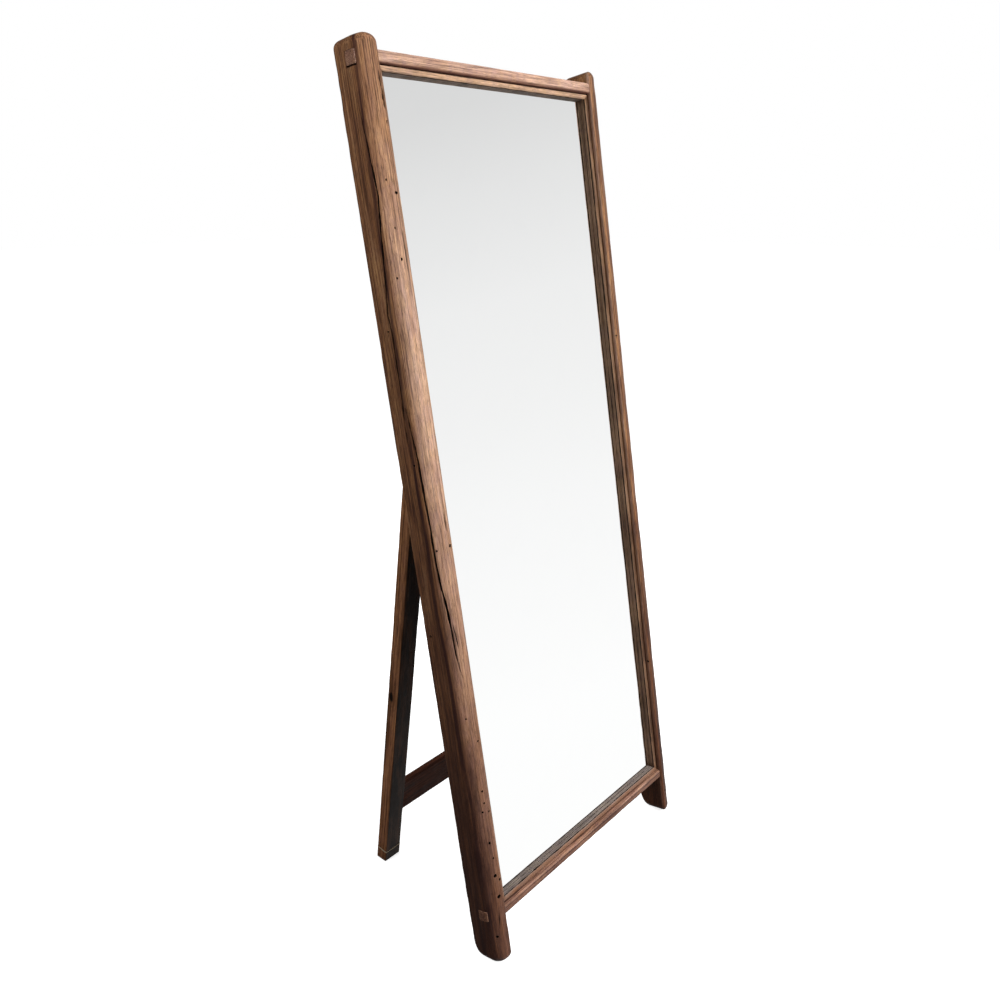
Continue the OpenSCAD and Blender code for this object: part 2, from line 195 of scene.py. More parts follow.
def makeAgeAndShadeGroup():
    # what years of handling do to the colour, plus painted shade: hollows are painted black as shade, arrises
    # rub pale, and painted shade darkens the wood towards the floor
    group, given, out = newGroup("woodAgeAndShade", [
        ("Colour", "NodeSocketColor", (0.3, 0.17, 0.1, 1)),
        ("Vector", "NodeSocketVector", None),
        ("Crevice Shade", "NodeSocketFloat", 0.0),
        ("Staining And Shade", "NodeSocketFloat", 0.0),
        ("Rubbed", "NodeSocketFloat", 0.0),
        ("End Grain", "NodeSocketFloat", 0.0),
        ("Staining And Shade Colour", "NodeSocketColor", (0.08, 0.04, 0.025, 1)),
        ("Foot Shade Height", "NodeSocketFloat", 1.2),
        ("Foot Shade", "NodeSocketFloat", 0.35),
    ], [("Colour", "NodeSocketColor"), ("Roughness", "NodeSocketFloat")])
    patchy = noiseOf(group, stretched(group, given["Vector"], (45, 45, 9)), 3.0, 0.6)
    mottle = noiseOf(group, stretched(group, given["Vector"], (70, 70, 22)), 4.0, 0.65, 0.6)
    ochre = mixColour(group, spread(group, mottle, 0.38, 0.6), (0.94, 0.9, 0.96, 1), (1.05, 1.01, 0.93, 1))
    base = multiply(group, given["Colour"], ochre)
    uneven = spread(group, patchy, 0.25, 0.7, 0.75, 1.15)
    # stains together with painted shade, made uneven
    stained = maths(group, "MULTIPLY", given["Staining And Shade"], uneven, clamp=True)
    colour = mixColour(group, stained, base, given["Staining And Shade Colour"])
    rubs = spread(group, patchy, 0.35, 0.65, 0.0, 0.5)
    rubbed = maths(group, "MULTIPLY", given["Rubbed"], rubs, clamp=True)
    colour = mixColour(group, rubbed, colour, multiply(group, colour, (1.5, 1.5, 1.5, 1)))
    colour = mixColour(group, given["End Grain"], colour, multiply(group, colour, (0.62, 0.55, 0.5, 1)))
    parts = addNode(group, "ShaderNodeSeparateXYZ", {0: given["Vector"]})
    # painted shade: the wood gets darker towards the floor, where less light reaches it
    level = maths(group, "DIVIDE", parts.outputs[2], given["Foot Shade Height"], clamp=True)
    footShade = maths(group, "MULTIPLY", maths(group, "SUBTRACT", 1.0, level), given["Foot Shade"])
    colour = mixColour(group, footShade, colour, multiply(group, colour, (0.4, 0.22, 0.16, 1)))
    # painted shade: cracks, holes and mortise mouths go near black
    colour = mixColour(group, given["Crevice Shade"], colour, (0.006, 0.004, 0.003, 1))
    waxed = maths(group, "MULTIPLY_ADD", given["Staining And Shade"], -0.08, 0.5)
    rough = maths(group, "MULTIPLY_ADD", patchy, 0.25, waxed)
    group.links.new(colour, out["Colour"])
    group.links.new(rough, out["Roughness"])
    return group


def makeKnotGroup():
    # one knot: a dark eye with rings that the grain flows round
    group, given, out = newGroup("knot", [
        ("Vector", "NodeSocketVector", None),
        ("Centre", "NodeSocketVector", (0, 0, 0)),
        ("Size", "NodeSocketFloat", 0.012),
    ], [("Eye", "NodeSocketFloat"), ("Halo", "NodeSocketFloat")])
    away = vectorMaths(group, "SUBTRACT", {0: given["Vector"], 1: given["Centre"]})
    oval = vectorMaths(group, "MULTIPLY", {0: away, 1: (1, 1, 0.5)})
    distance = vectorMaths(group, "LENGTH", {0: oval}, output=1)
    ripple = noiseOf(group, stretched(group, given["Vector"], (160, 160, 90)), 2.0)
    reach = maths(group, "DIVIDE", distance, given["Size"])
    reach = maths(group, "ADD", reach, maths(group, "MULTIPLY_ADD", ripple, 0.5, -0.25))
    ring = maths(group, "SINE", maths(group, "MULTIPLY", reach, 14.0))
    eye = spread(group, reach, 0.35, 0.6, 1.0, 0.0)
    halo = maths(group, "MULTIPLY", spread(group, reach, 0.6, 2.4, 1.0, 0.0),
                 maths(group, "MULTIPLY_ADD", ring, 0.25, 0.6))
    group.links.new(eye, out["Eye"])
    group.links.new(halo, out["Halo"])
    return group


def makeMetalGroup():
    # tarnish and small rust spots on plain steel
    group, given, out = newGroup("tarnish", [
        ("Vector", "NodeSocketVector", None),
        ("Colour", "NodeSocketColor", (0.4, 0.39, 0.37, 1)),
        ("Rust", "NodeSocketFloat", 0.5),
    ], [("Colour", "NodeSocketColor"), ("Roughness", "NodeSocketFloat"), ("Height", "NodeSocketFloat")])
    cloud = noiseOf(group, stretched(group, given["Vector"], (220, 220, 220)), 4.0, 0.6)
    speck = noiseOf(group, stretched(group, given["Vector"], (900, 900, 900)), 2.0, 0.6)
    rust = maths(group, "MULTIPLY", spread(group, cloud, 0.5, 0.68), given["Rust"], clamp=True)
    dull = mixColour(group, spread(group, cloud, 0.3, 0.6), given["Colour"], (0.12, 0.11, 0.1, 1))
    group.links.new(mixColour(group, rust, dull, rgb(104, 62, 38)), out["Colour"])
    group.links.new(spread(group, speck, 0.3, 0.7, 0.35, 0.62), out["Roughness"])
    group.links.new(maths(group, "ADD", cloud, maths(group, "MULTIPLY", speck, 0.4)), out["Height"])
    return group


grainLines = makeGrainGroup()
woodAgeAndShade = makeAgeAndShadeGroup()
knotMark = makeKnotGroup()
tarnish = makeMetalGroup()
print("shared effects ready")


# materials
frameLean = 10.0                                     # the mirror leans back by this much, in degrees
joint = record["behaviour"]["joints"][0]
legLean = frameLean + joint["range_deg"][0]          # the easel's own slope, the other way

# marks that the shaping of a bar leaves on its points, and that the woods read
# the staining mark also carries painted shade, the bleaching mark painted highlights, and the mark for cracks
# and holes is painted shade only
maskNames = ("creviceShade", "stainAndShade", "bleachedAndHighlit", "rubbed", "endGrain")

# what the woods have in common; grain sizes in metres, colours as seen on a screen
plainWood = {
    "ring": 0.0026, "fibre": 0.0013, "wander": 0.004, "lean": frameLean, "along": "X",
    "sheen": 0.26, "bump": 0.4, "footShade": 0.4, "knots": [],
}
woods = {
    "postWood": {
        "dark": (110, 74, 53), "mid": (158, 112, 76), "pale": (188, 144, 104), "bleachAndHighlight": (222, 188, 166),
        "stainAndShade": (62, 36, 30), "ring": 0.0019, "fibre": 0.0008, "wander": 0.006, "along": "Z",
        "bump": 0.8, "footShade": 0.8, "knots": [(0.318, -0.186, 0.213, 0.009)],
    },
    "railWood": {
        "dark": (98, 60, 46), "mid": (156, 112, 88), "pale": (190, 150, 124), "bleachAndHighlight": (216, 184, 164),
        "stainAndShade": (74, 40, 32), "ring": 0.0024, "footShade": 0.35,
    },
    "beadWood": {
        "dark": (84, 58, 42), "mid": (140, 104, 78), "pale": (184, 146, 112), "bleachAndHighlight": (210, 176, 148),
        "stainAndShade": (42, 32, 24), "ring": 0.002, "fibre": 0.001, "wander": 0.006, "along": "Z",
        "sheen": 0.24, "bump": 0.3, "footShade": 0.3,
    },
    # the grey on top of the bottom bead is a painted reflection of the pale sky; the brown in front is the
    # wood
    "sillWoodSkyGrey": {  # the bottom bead: grey on top, brown in front
        "dark": (84, 74, 68), "mid": (128, 117, 110), "pale": (152, 142, 134), "bleachAndHighlight": (190, 180, 172),
        "stainAndShade": (146, 104, 78), "ring": 0.002, "fibre": 0.001, "wander": 0.006,
        "sheen": 0.24, "bump": 0.3, "footShade": 0.2,
    },
    "legWood": {
        "dark": (116, 80, 56), "mid": (170, 121, 86), "pale": (192, 141, 104), "bleachAndHighlight": (190, 160, 136),
        "stainAndShade": (30, 19, 13), "fibre": 0.0014, "wander": 0.005, "lean": legLean, "along": "Z", "sheen": 0.08,
        "knots": [(-0.285, 0.1446, 0.469, 0.012), (-0.262, 0.124, 0.478, 0.01)],
    },
    # darker than the legs' wood: painted shade on the stretcher, which faces the back of the frame
    "stretcherWoodShaded": {
        "dark": (60, 33, 24), "mid": (98, 60, 44), "pale": (120, 78, 58), "bleachAndHighlight": (170, 140, 120),
        "stainAndShade": (46, 24, 18), "lean": legLean, "sheen": 0.06,
    },
    "hingeRailWood": {
        "dark": (80, 54, 38), "mid": (118, 84, 60), "pale": (150, 112, 82), "bleachAndHighlight": (190, 160, 136),
        "stainAndShade": (50, 32, 24), "fibre": 0.0014, "sheen": 0.16, "footShade": 0.3,
        "knots": [(0.09, 0.05, 1.22, 0.009)],
    },
    "stripWood": {
        "dark": (142, 104, 66), "mid": (182, 142, 98), "pale": (208, 172, 128), "bleachAndHighlight": (216, 190, 156),
        "stainAndShade": (92, 62, 40), "ring": 0.002, "fibre": 0.0009, "along": "Z",
        "sheen": 0.2, "bump": 0.25, "footShade": 0.2,
    },
}
for twin in ("beadWood", "stripWood"):
    woods[twin + "Across"] = dict(woods[twin], along="X")


def startMaterial(name):
    material = bpy.data.materials.new(name)
    material.use_nodes = True
    tree = material.node_tree
    shader = tree.nodes["Principled BSDF"]
    place = tree.nodes.new("ShaderNodeTexCoord").outputs["Object"]
    return material, tree, shader, place


def addBump(tree, shader, height, strength, distance):
    node = addNode(tree, "ShaderNodeBump", {"Height": height, "Strength": strength, "Distance": distance})
    tree.links.new(node.outputs[0], shader.inputs["Normal"])


def makeWood(name, look):
    look = dict(plainWood, **look)
    dark, mid, pale, bleachAndHighlight, stainAndShade = (rgb(*look[tone]) for tone in ("dark", "mid", "pale", "bleachAndHighlight", "stainAndShade"))
    material, tree, shader, place = startMaterial(name)
    marks = {label: addNode(tree, "ShaderNodeAttribute", attribute_name=label).outputs["Fac"]
             for label in maskNames}
    turn = (math.radians(look["lean"]), 0, 0)
    upright = addNode(tree, "ShaderNodeMapping", {"Vector": place, "Rotation": turn}).outputs[0]
    if look["along"] == "X":
        turn = (0, math.radians(90), 0)
        upright = addNode(tree, "ShaderNodeMapping", {"Vector": upright, "Rotation": turn}).outputs[0]
    grain = useGroup(tree, grainLines, {
        "Vector": upright, "Ring Size": look["ring"], "Fibre Size": look["fibre"], "Wander": look["wander"],
    })
    tone = maths(tree, "MULTIPLY_ADD", grain["Streak"], 0.5, maths(tree, "MULTIPLY", grain["Blotch"], 0.5))
    colour = colourRamp(tree, tone, [(0.38, dark), (0.5, mid), (0.62, pale)])
    patches = spread(tree, grain["Blotch"], 0.3, 0.6, 0.5, 0.82)
    # the bleaching mark also carries painted highlights
    bleachedAndHighlit = maths(tree, "MULTIPLY", marks["bleachedAndHighlit"], patches)
    colour = mixColour(tree, bleachedAndHighlit, colour, bleachAndHighlight)
    darkest = maths(tree, "MULTIPLY_ADD", bleachedAndHighlit, 0.32, 0.5)      # streaks are fainter where it is bleached
    fine = maths(tree, "MULTIPLY", spread(tree, grain["Fibre"], 0.34, 0.58, 0.58, 1.16),
                 spread(tree, grain["Streak"], 0.38, 0.52, darkest, 1.04))
    fine = maths(tree, "MULTIPLY", fine, maths(tree, "MULTIPLY_ADD", grain["Pores"], -0.45, 1.0))
    colour = multiply(tree, colour, grey(tree, fine))
    for x, y, z, size in look["knots"]:
        knot = useGroup(tree, knotMark, {"Vector": place, "Centre": (x, y, z), "Size": size})
        colour = mixColour(tree, knot["Halo"], colour, dark)
        colour = mixColour(tree, knot["Eye"], colour, stainAndShade)
    agedAndShaded = useGroup(tree, woodAgeAndShade, {
        "Colour": colour, "Vector": place, "Crevice Shade": marks["creviceShade"], "Rubbed": marks["rubbed"],
        "End Grain": marks["endGrain"], "Staining And Shade": marks["stainAndShade"], "Staining And Shade Colour": stainAndShade,
        "Foot Shade": look["footShade"],
    })
    tree.links.new(agedAndShaded["Colour"], shader.inputs["Base Color"])
    tree.links.new(agedAndShaded["Roughness"], shader.inputs["Roughness"])
    shader.inputs["Specular IOR Level"].default_value = look["sheen"]
    sawn = maths(tree, "MULTIPLY_ADD", marks["endGrain"], -0.8, 1.0)
    addBump(tree, shader, maths(tree, "MULTIPLY", grain["Height"], sawn), look["bump"], 0.0014)
    return material


def makeSteel(name, colour, rust):
    material, tree, shader, place = startMaterial(name)
    metal = useGroup(tree, tarnish, {"Vector": place, "Colour": colour, "Rust": rust})
    tree.links.new(metal["Colour"], shader.inputs["Base Color"])
    tree.links.new(metal["Roughness"], shader.inputs["Roughness"])
    shader.inputs["Metallic"].default_value = 1
    addBump(tree, shader, metal["Height"], 0.25, 0.0003)
    return material


def makeMirror(name):
    # silvered glass, with a faint bloom of dust in the roughness
    material, tree, shader, place = startMaterial(name)
    dust = noiseOf(tree, stretched(tree, place, (14, 14, 14)), 5.0, 0.7)
    dusty = spread(tree, dust, 0.5, 0.8, 0.0, 0.5)
    tint = mixColour(tree, dusty, (0.985, 0.99, 0.988, 1), (0.97, 0.975, 0.975, 1))
    tree.links.new(tint, shader.inputs["Base Color"])
    tree.links.new(spread(tree, dust, 0.55, 0.8, 0.0, 0.02), shader.inputs["Roughness"])
    shader.inputs["Metallic"].default_value = 1
    return material


def makeBoard(name):
    # brown pressed fibreboard: fine mottling and stray fibres
    material, tree, shader, place = startMaterial(name)
    mottle = noiseOf(tree, stretched(tree, place, (140, 140, 140)), 6.0, 0.7)
    fleck = noiseOf(tree, stretched(tree, place, (900, 900, 260)), 3.0, 0.6, 1.5)
    stops = [(0.3, rgb(98, 72, 51)), (0.55, rgb(110, 83, 59)), (0.75, rgb(122, 94, 69))]
    colour = colourRamp(tree, mottle, stops)
    colour = mixColour(tree, spread(tree, fleck, 0.6, 0.75, 0.0, 0.5), colour, rgb(156, 124, 92))
    colour = mixColour(tree, spread(tree, fleck, 0.25, 0.4, 0.5, 0.0), colour, rgb(62, 44, 32))
    tree.links.new(colour, shader.inputs["Base Color"])
    tree.links.new(spread(tree, mottle, 0.3, 0.7, 0.55, 0.75), shader.inputs["Roughness"])
    shader.inputs["Specular IOR Level"].default_value = 0.35
    addBump(tree, shader, fleck, 0.3, 0.0003)
    return material


def makeShim(name):
    # the pale packing slip let into each leg
    material, tree, shader, place = startMaterial(name)
    cloud = noiseOf(tree, stretched(tree, place, (180, 180, 60)), 4.0, 0.6)
    stops = [(0.3, rgb(150, 128, 100)), (0.55, rgb(196, 178, 150)), (0.7, rgb(214, 200, 176))]
    colour = colourRamp(tree, cloud, stops)
    tree.links.new(colour, shader.inputs["Base Color"])
    tree.links.new(spread(tree, cloud, 0.3, 0.7, 0.6, 0.8), shader.inputs["Roughness"])
    addBump(tree, shader, cloud, 0.3, 0.0004)
    return material


finishes = {name: makeWood(name, look) for name, look in woods.items()}
finishes["hingeSteel"] = makeSteel("hingeSteel", (0.36, 0.33, 0.28, 1), 0.45)
finishes["plainSteel"] = makeSteel("plainSteel", (0.5, 0.49, 0.47, 1), 0.6)
finishes["silveredGlass"] = makeMirror("silveredGlass")
finishes["fibreBoard"] = makeBoard("fibreBoard")
finishes["paleShim"] = makeShim("paleShim")
print("materials ready:", len(finishes))


# timber: every bar starts as a cylinder, is cut into rings and takes its section from an outline

def limit(value):
    return min(1.0, max(0.0, value))


def waver(x, y=0.0, z=0.0):
    # slow seeded noise, about -1 to 1
    return noise.noise(Vector((x, y, z)))


def cloudy(x, y=0.0, z=0.0):
    return 0.5 + 0.5 * waver(x, y, z)


def clearSelection():
    if bpy.context.object and bpy.context.object.mode != "OBJECT":
        bpy.ops.object.mode_set(mode="OBJECT")
    bpy.ops.object.select_all(action="DESELECT")


def leanTurn(degrees):
    return Matrix.Rotation(math.radians(-degrees), 3, "X")


def leanedBox(node, degrees):
    # a CAD node's box, measured along axes that lean with it
    back = leanTurn(degrees).inverted()
    points = [back @ vertex.co for vertex in frame["nodes"][node].data.vertices]
    return (Vector([min(p[i] for p in points) for i in range(3)]),
            Vector([max(p[i] for p in points) for i in range(3)]))


def barOutline(width, depth, radii):
    # rounded rectangle, counterclockwise from the middle of the back: x, y and the outward direction
    backLeft, frontLeft, frontRight, backRight = radii
    corners = [
        (backLeft, depth - backLeft, backLeft, 90), (frontLeft, frontLeft, frontLeft, 180),
        (width - frontRight, frontRight, frontRight, 270),
        (width - backRight, depth - backRight, backRight, 0),
    ]
    outline = [(width / 2, depth, 0.0, 1.0)]
    for x, y, radius, start in corners:
        steps = max(4, round(radius / mm * 3))
        for step in range(steps + 1):
            angle = math.radians(start + 90 * step / steps)
            outline.append((x + radius * math.cos(angle), y + radius * math.sin(angle),
                            math.cos(angle), math.sin(angle)))
    outline.append((width / 2, depth, 0.0, 1.0))
    lengths = [0.0]
    for first, second in zip(outline, outline[1:]):
        lengths.append(lengths[-1] + math.hypot(second[0] - first[0], second[1] - first[1]))
    return outline, lengths


def outlineAt(outline, lengths, along):
    along = min(max(along, 0.0), lengths[-1])
    index = min(max(bisect.bisect_right(lengths, along), 1), len(lengths) - 1)
    gap = lengths[index] - lengths[index - 1]
    part = (along - lengths[index - 1]) / gap if gap > 0 else 0.0
    return [a + (b - a) * part for a, b in zip(outline[index - 1], outline[index])]


def chooseColumns(lengths, count, crowd, snaps):
    # columns round the section, closer together where a crack runs
    samples = 2000
    total, sums = 0.0, [0.0]
    for index in range(samples):
        along = lengths[-1] * (index + 0.5) / samples
        total += 1 + sum(extra * math.exp(-((along - place) / reach) ** 2) for place, reach, extra in crowd)
        sums.append(total)
    columns = []
    for index in range(count):
        place = bisect.bisect_left(sums, total * index / count)
        columns.append(lengths[-1] * place / samples)
    for snap in snaps:
        nearest = min(range(1, count), key=lambda i: abs(columns[i] - snap))
        columns[nearest] = snap
    return columns


def chooseRings(length, count, domeSize, domeRings, snaps):
    # ring places along a bar, closer together at its rounded ends
    rings = [domeSize * (1 - math.cos(math.pi / 2 * index / domeRings)) for index in range(domeRings)]
    middle = count - 2 * domeRings
    rings += [domeSize + (length - 2 * domeSize) * index / middle for index in range(middle + 1)]
    rings += [length - place for place in reversed(rings[:domeRings])]
    for snap in snaps:
        nearest = min(range(1, count), key=lambda i: abs(rings[i] - snap))
        rings[nearest] = snap
    return rings


def roundedLoss(radius, distance):
    # how far a rounded end has drawn in at this distance from its tip
    if radius <= 0 or distance >= radius:
        return 0.0
    return radius - math.sqrt(max(radius ** 2 - (radius - distance) ** 2, 0.0))


def crackDepth(crack, along, height):
    # a split that wanders up the bar and fades out at both ends
    path = crack["path"]
    if not path[0][0] <= height <= path[-1][0]:
        return 0.0, None
    index = min(max(bisect.bisect_right([p[0] for p in path], height), 1), len(path) - 1)
    (lowZ, lowS), (highZ, highS) = path[index - 1], path[index]
    centre = lowS + (highS - lowS) * (height - lowZ) / (highZ - lowZ)
    centre += crack.get("wander", 0.0012) * waver(height * 28, crack["seed"])
    ends = min(height - path[0][0], path[-1][0] - height) / crack["fade"]
    taper = limit(ends) ** 0.5
    taper *= 0.75 + 0.5 * waver(height * 40, crack["seed"] + 5)
    half = crack["width"] / 2 * taper
    off = abs(along - centre)
    if half <= 0 or off >= half:
        return 0.0, centre
    return crack["depth"] * taper * (1 - off / half) ** 0.6, centre


def ringBlank(name, columns, firstCuts, secondCuts):
    # a cylinder whose long edges are subdivided twice into even rings
    clearSelection()
    bpy.ops.mesh.primitive_cylinder_add(vertices=columns, radius=1, depth=1, end_fill_type="NGON")
    bar = bpy.context.object
    bar.name = name
    bar.data.name = name
    bpy.ops.object.mode_set(mode="EDIT")
    bpy.ops.mesh.select_mode(type="EDGE")
    for cuts in (firstCuts, secondCuts):
        if cuts == 0:
            continue
        bpy.ops.mesh.select_all(action="DESELECT")
        edit = bmesh.from_edit_mesh(bar.data)
        for edge in edit.edges:
            edge.select = abs(edge.verts[0].co.z - edge.verts[1].co.z) > 1e-4
        bmesh.update_edit_mesh(bar.data)
        bpy.ops.mesh.subdivide(number_cuts=cuts)
    bpy.ops.object.mode_set(mode="OBJECT")
    return bar


# sizes across and along the grain
dentSize = (0.03, 0.14)
chipSize = (0.012, 0.035)


def makeBar(name, width, depth, length, look):
    # look: radii (back left, front left, front right, back right), columns, cuts, wear, seed, and maybe
    # ends (side, front, back of the foot, back of the top), cracks, snaps, stain with painted shade, bleach
    # with painted highlights, lowCut and highCut
    outline, lengths = barOutline(width, depth, look["radii"])
    firstCuts, secondCuts = look["cuts"]
    ringCount = (firstCuts + 1) * (secondCuts + 1)
    ends = look.get("ends", (0.0008,) * 4)
    cracks = look.get("cracks", [])
    lowCut = look.get("lowCut", lambda x, y: 0.0)
    highCut = look.get("highCut", lambda x, y: 0.0)
    columnSnaps = [nearestAlong(outline, lengths, x, y) for x, y in look.get("snapPoints", [])]
    crowd = [(crack["home"], 0.006, 5.0) for crack in cracks if "home" in crack]
    columns = chooseColumns(lengths, look["columns"], crowd, columnSnaps)
    domed = max(ends) > 3 * mm                       # big rounded ends show end grain all over
    domeRings = look.get("domeRings", 3)
    rings = chooseRings(length, ringCount, max(ends), domeRings, look.get("snapRings", []))
    bar = ringBlank(name, look["columns"], firstCuts, secondCuts)
    mesh = bar.data
    wear = look["wear"]
    seed = look["seed"]
    stainAndShadeOf = look.get("stainAndShade", lambda x, y, z, along, nx, ny: 0.0)
    bleachAndHighlightOf = look.get("bleachAndHighlight", lambda x, y, z, along, nx, ny: 0.0)
    masks = {label: [0.0] * len(mesh.vertices) for label in maskNames}
    for vertex in mesh.vertices:
        turned = math.atan2(vertex.co.y, vertex.co.x) / (2 * math.pi)
        column = round(turned * look["columns"] - look["columns"] / 4)
        ring = round((vertex.co.z + 0.5) * ringCount)
        along = columns[column % look["columns"]]
        height = rings[ring]
        for crack in cracks:
            if "home" not in crack:
                continue
            within = min(max(height, crack["path"][0][0]), crack["path"][-1][0])
            centre = crackDepth(crack, along, within)[1]
            if centre is not None:
                along += (centre - crack["home"]) * math.exp(-((along - crack["home"]) / crack["pull"]) ** 2)
        x, y, nx, ny = outlineAt(outline, lengths, along)
        toEnd = min(height, length - height)
        sideLoss = roundedLoss(ends[0], toEnd)
        frontLoss = roundedLoss(ends[1], toEnd)
        backLoss = roundedLoss(ends[2] if height < length / 2 else ends[3], toEnd)
        # the section is squeezed between what the rounded ends leave
        xEnd = sideLoss + x * (width - 2 * sideLoss) / width
        yEnd = frontLoss + y * (depth - frontLoss - backLoss) / depth
        low = lowCut(xEnd, yEnd)
        high = length - highCut(xEnd, yEnd)
        z = low + (high - low) * height / length
        nearEnd = min(1.0, toEnd / ends[1]) if ends[1] > 0 else 1.0
        # wear only ever takes wood away
        ridge = cloudy(x / wear["ridge"] + seed, y / wear["ridge"], z / wear["ridge"] / 60)
        dent = cloudy(x / dentSize[0] + seed, y / dentSize[0], z / dentSize[1])
        chip = waver(x / chipSize[0] + seed, y / chipSize[0], z / chipSize[1])
        corner = 1 - max(abs(nx), abs(ny))
        loss = wear["ridgeDepth"] * ridge + wear["dentDepth"] * dent ** 2
        loss += wear["cornerDepth"] * min(1.0, corner * 4) * max(chip, 0.0)
        # painted shade inside the cracks, as dark as they are deep
        creviceShade = 0.0
        for crack in cracks:
            deep = crackDepth(crack, along, height)[0]
            if deep > 0:
                loss += deep
                creviceShade = max(creviceShade, min(1.0, deep / crack["depth"] * 3.2))
        loss *= 0.25 + 0.75 * nearEnd if creviceShade == 0 else 1.0
        vertex.co = (min(max(xEnd - nx * loss, 0.0), width), min(max(yEnd - ny * loss, 0.0), depth), z)
        masks["creviceShade"][vertex.index] = creviceShade
        masks["rubbed"][vertex.index] = min(1.0, corner * 3.5)
        sawn = max(0.0, 1 - nearEnd * 1.3) if domed else float(toEnd < 1e-5)
        masks["endGrain"][vertex.index] = sawn
        masks["stainAndShade"][vertex.index] = limit(stainAndShadeOf(x, y, z, along, nx, ny))
        masks["bleachedAndHighlit"][vertex.index] = limit(bleachAndHighlightOf(x, y, z, along, nx, ny))
    for label, values in masks.items():
        mesh.attributes.new(label, "FLOAT", "POINT").data.foreach_set("value", values)
    return bar


def nearestAlong(outline, lengths, x, y):
    return min(zip(lengths, outline), key=lambda pair: (pair[1][0] - x) ** 2 + (pair[1][1] - y) ** 2)[0]


def selectFaces(bar, test):
    bpy.ops.mesh.select_mode(type="FACE")
    bpy.ops.mesh.select_all(action="DESELECT")
    edit = bmesh.from_edit_mesh(bar.data)
    count = 0
    for face in edit.faces:
        face.select = bool(test(face))
        count += face.select
    bmesh.update_edit_mesh(bar.data)
    return count


def openBar(bar):
    clearSelection()
    bpy.context.view_layer.objects.active = bar
    bar.select_set(True)
    bpy.ops.object.mode_set(mode="EDIT")


def markSelected(bar, label, value):
    edit = bmesh.from_edit_mesh(bar.data)
    layer = edit.verts.layers.float[label]
    for vertex in edit.verts:
        if vertex.select:
            vertex[layer] = value
    bmesh.update_edit_mesh(bar.data)


def cutPocket(bar, low, high, side, depth):
    # sinks the faces on one side (-1 or 1 in x) between two (y, z) corners: a mortise mouth
    openBar(bar)
    found = selectFaces(bar, lambda face: face.normal.x * side > 0.5
                        and low[0] < face.calc_center_median().y < high[0]
                        and low[1] < face.calc_center_median().z < high[1])
    if found:
        bpy.ops.mesh.extrude_region_move(TRANSFORM_OT_translate={"value": (-side * depth, 0, 0)})
        # the sunk mouth is painted as shade
        markSelected(bar, "creviceShade", 1.0)
    bpy.ops.object.mode_set(mode="OBJECT")


def drillHoles(bar, holes):
    # worm and nail holes: (x, y, z, radius) on the surface, each a ring of faces sunk and narrowed
    openBar(bar)
    for x, y, z, radius in holes:
        centre = Vector((x, y, z))
        edit = bmesh.from_edit_mesh(bar.data)
        edit.faces.ensure_lookup_table()
        nearest = min(edit.faces, key=lambda face: (face.calc_center_median() - centre).length_squared)
        inward = -nearest.normal.copy()
        middle = nearest.calc_center_median()
        shape = Vector((1, 1, 0.6))                  # the faces are longer than they are wide
        selectFaces(bar, lambda face: face == nearest
                    or ((face.calc_center_median() - middle) * shape).length < radius * 1.15)
        bpy.ops.mesh.subdivide(number_cuts=2)
        bpy.ops.mesh.inset(thickness=radius * 0.12, use_even_offset=False)
        if z < 0.45:
            markSelected(bar, "bleachedAndHighlit", 0.7)           # low down the lips of the holes are worn pale
        edit = bmesh.from_edit_mesh(bar.data)
        for vertex in [vertex for vertex in edit.verts if vertex.select]:
            flat = vertex.co - middle
            flat -= inward * flat.dot(inward)
            if flat.length > radius:
                vertex.co += (flat.normalized() * radius - flat) * 0.85
        bmesh.update_edit_mesh(bar.data)
        for step, shrink in ((0.6, 0.9), (1.2, 0.75), (2.0, 0.5)):         # in radii, narrowing to a tip
            move = inward * radius * step
            bpy.ops.mesh.extrude_region_move(TRANSFORM_OT_translate={"value": tuple(move)})
            edit = bmesh.from_edit_mesh(bar.data)
            moved = [vertex for vertex in edit.verts if vertex.select]
            centroid = sum((vertex.co for vertex in moved), Vector()) / len(moved)
            for vertex in moved:
                vertex.co = centroid + (vertex.co - centroid) * shrink
            bmesh.update_edit_mesh(bar.data)
            # the inside of the hole is painted as shade
            markSelected(bar, "creviceShade", 1.0)
    bpy.ops.object.mode_set(mode="OBJECT")


upright = Matrix.Identity(3)
sideways = Matrix(((0, 0, 1), (0, 1, 0), (-1, 0, 0)))        # the bar's length runs along +X, its x side down
sharpAngle = 42                                              # steeper edges than this stay crisp, in degrees


def placeBar(bar, turn, corner, leaning):
    # from the bar's own axes to the leaning frame's, then to the model's
    matrix = leanTurn(leaning)
    for vertex in bar.data.vertices:
        vertex.co = matrix @ (turn @ vertex.co + corner)
        vertex.co.z = max(vertex.co.z, 0.0)          # whatever stands on the floor is worn flat to it


def finishBar(bar, material, body, node):
    bar.data.materials.clear()
    bar.data.materials.append(finishes[material])
    clearSelection()
    bpy.context.view_layer.objects.active = bar
    bar.select_set(True)
    bpy.ops.object.shade_smooth_by_angle(angle=math.radians(sharpAngle))
    bar.select_set(False)
    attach(bar, body)
    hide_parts(node)


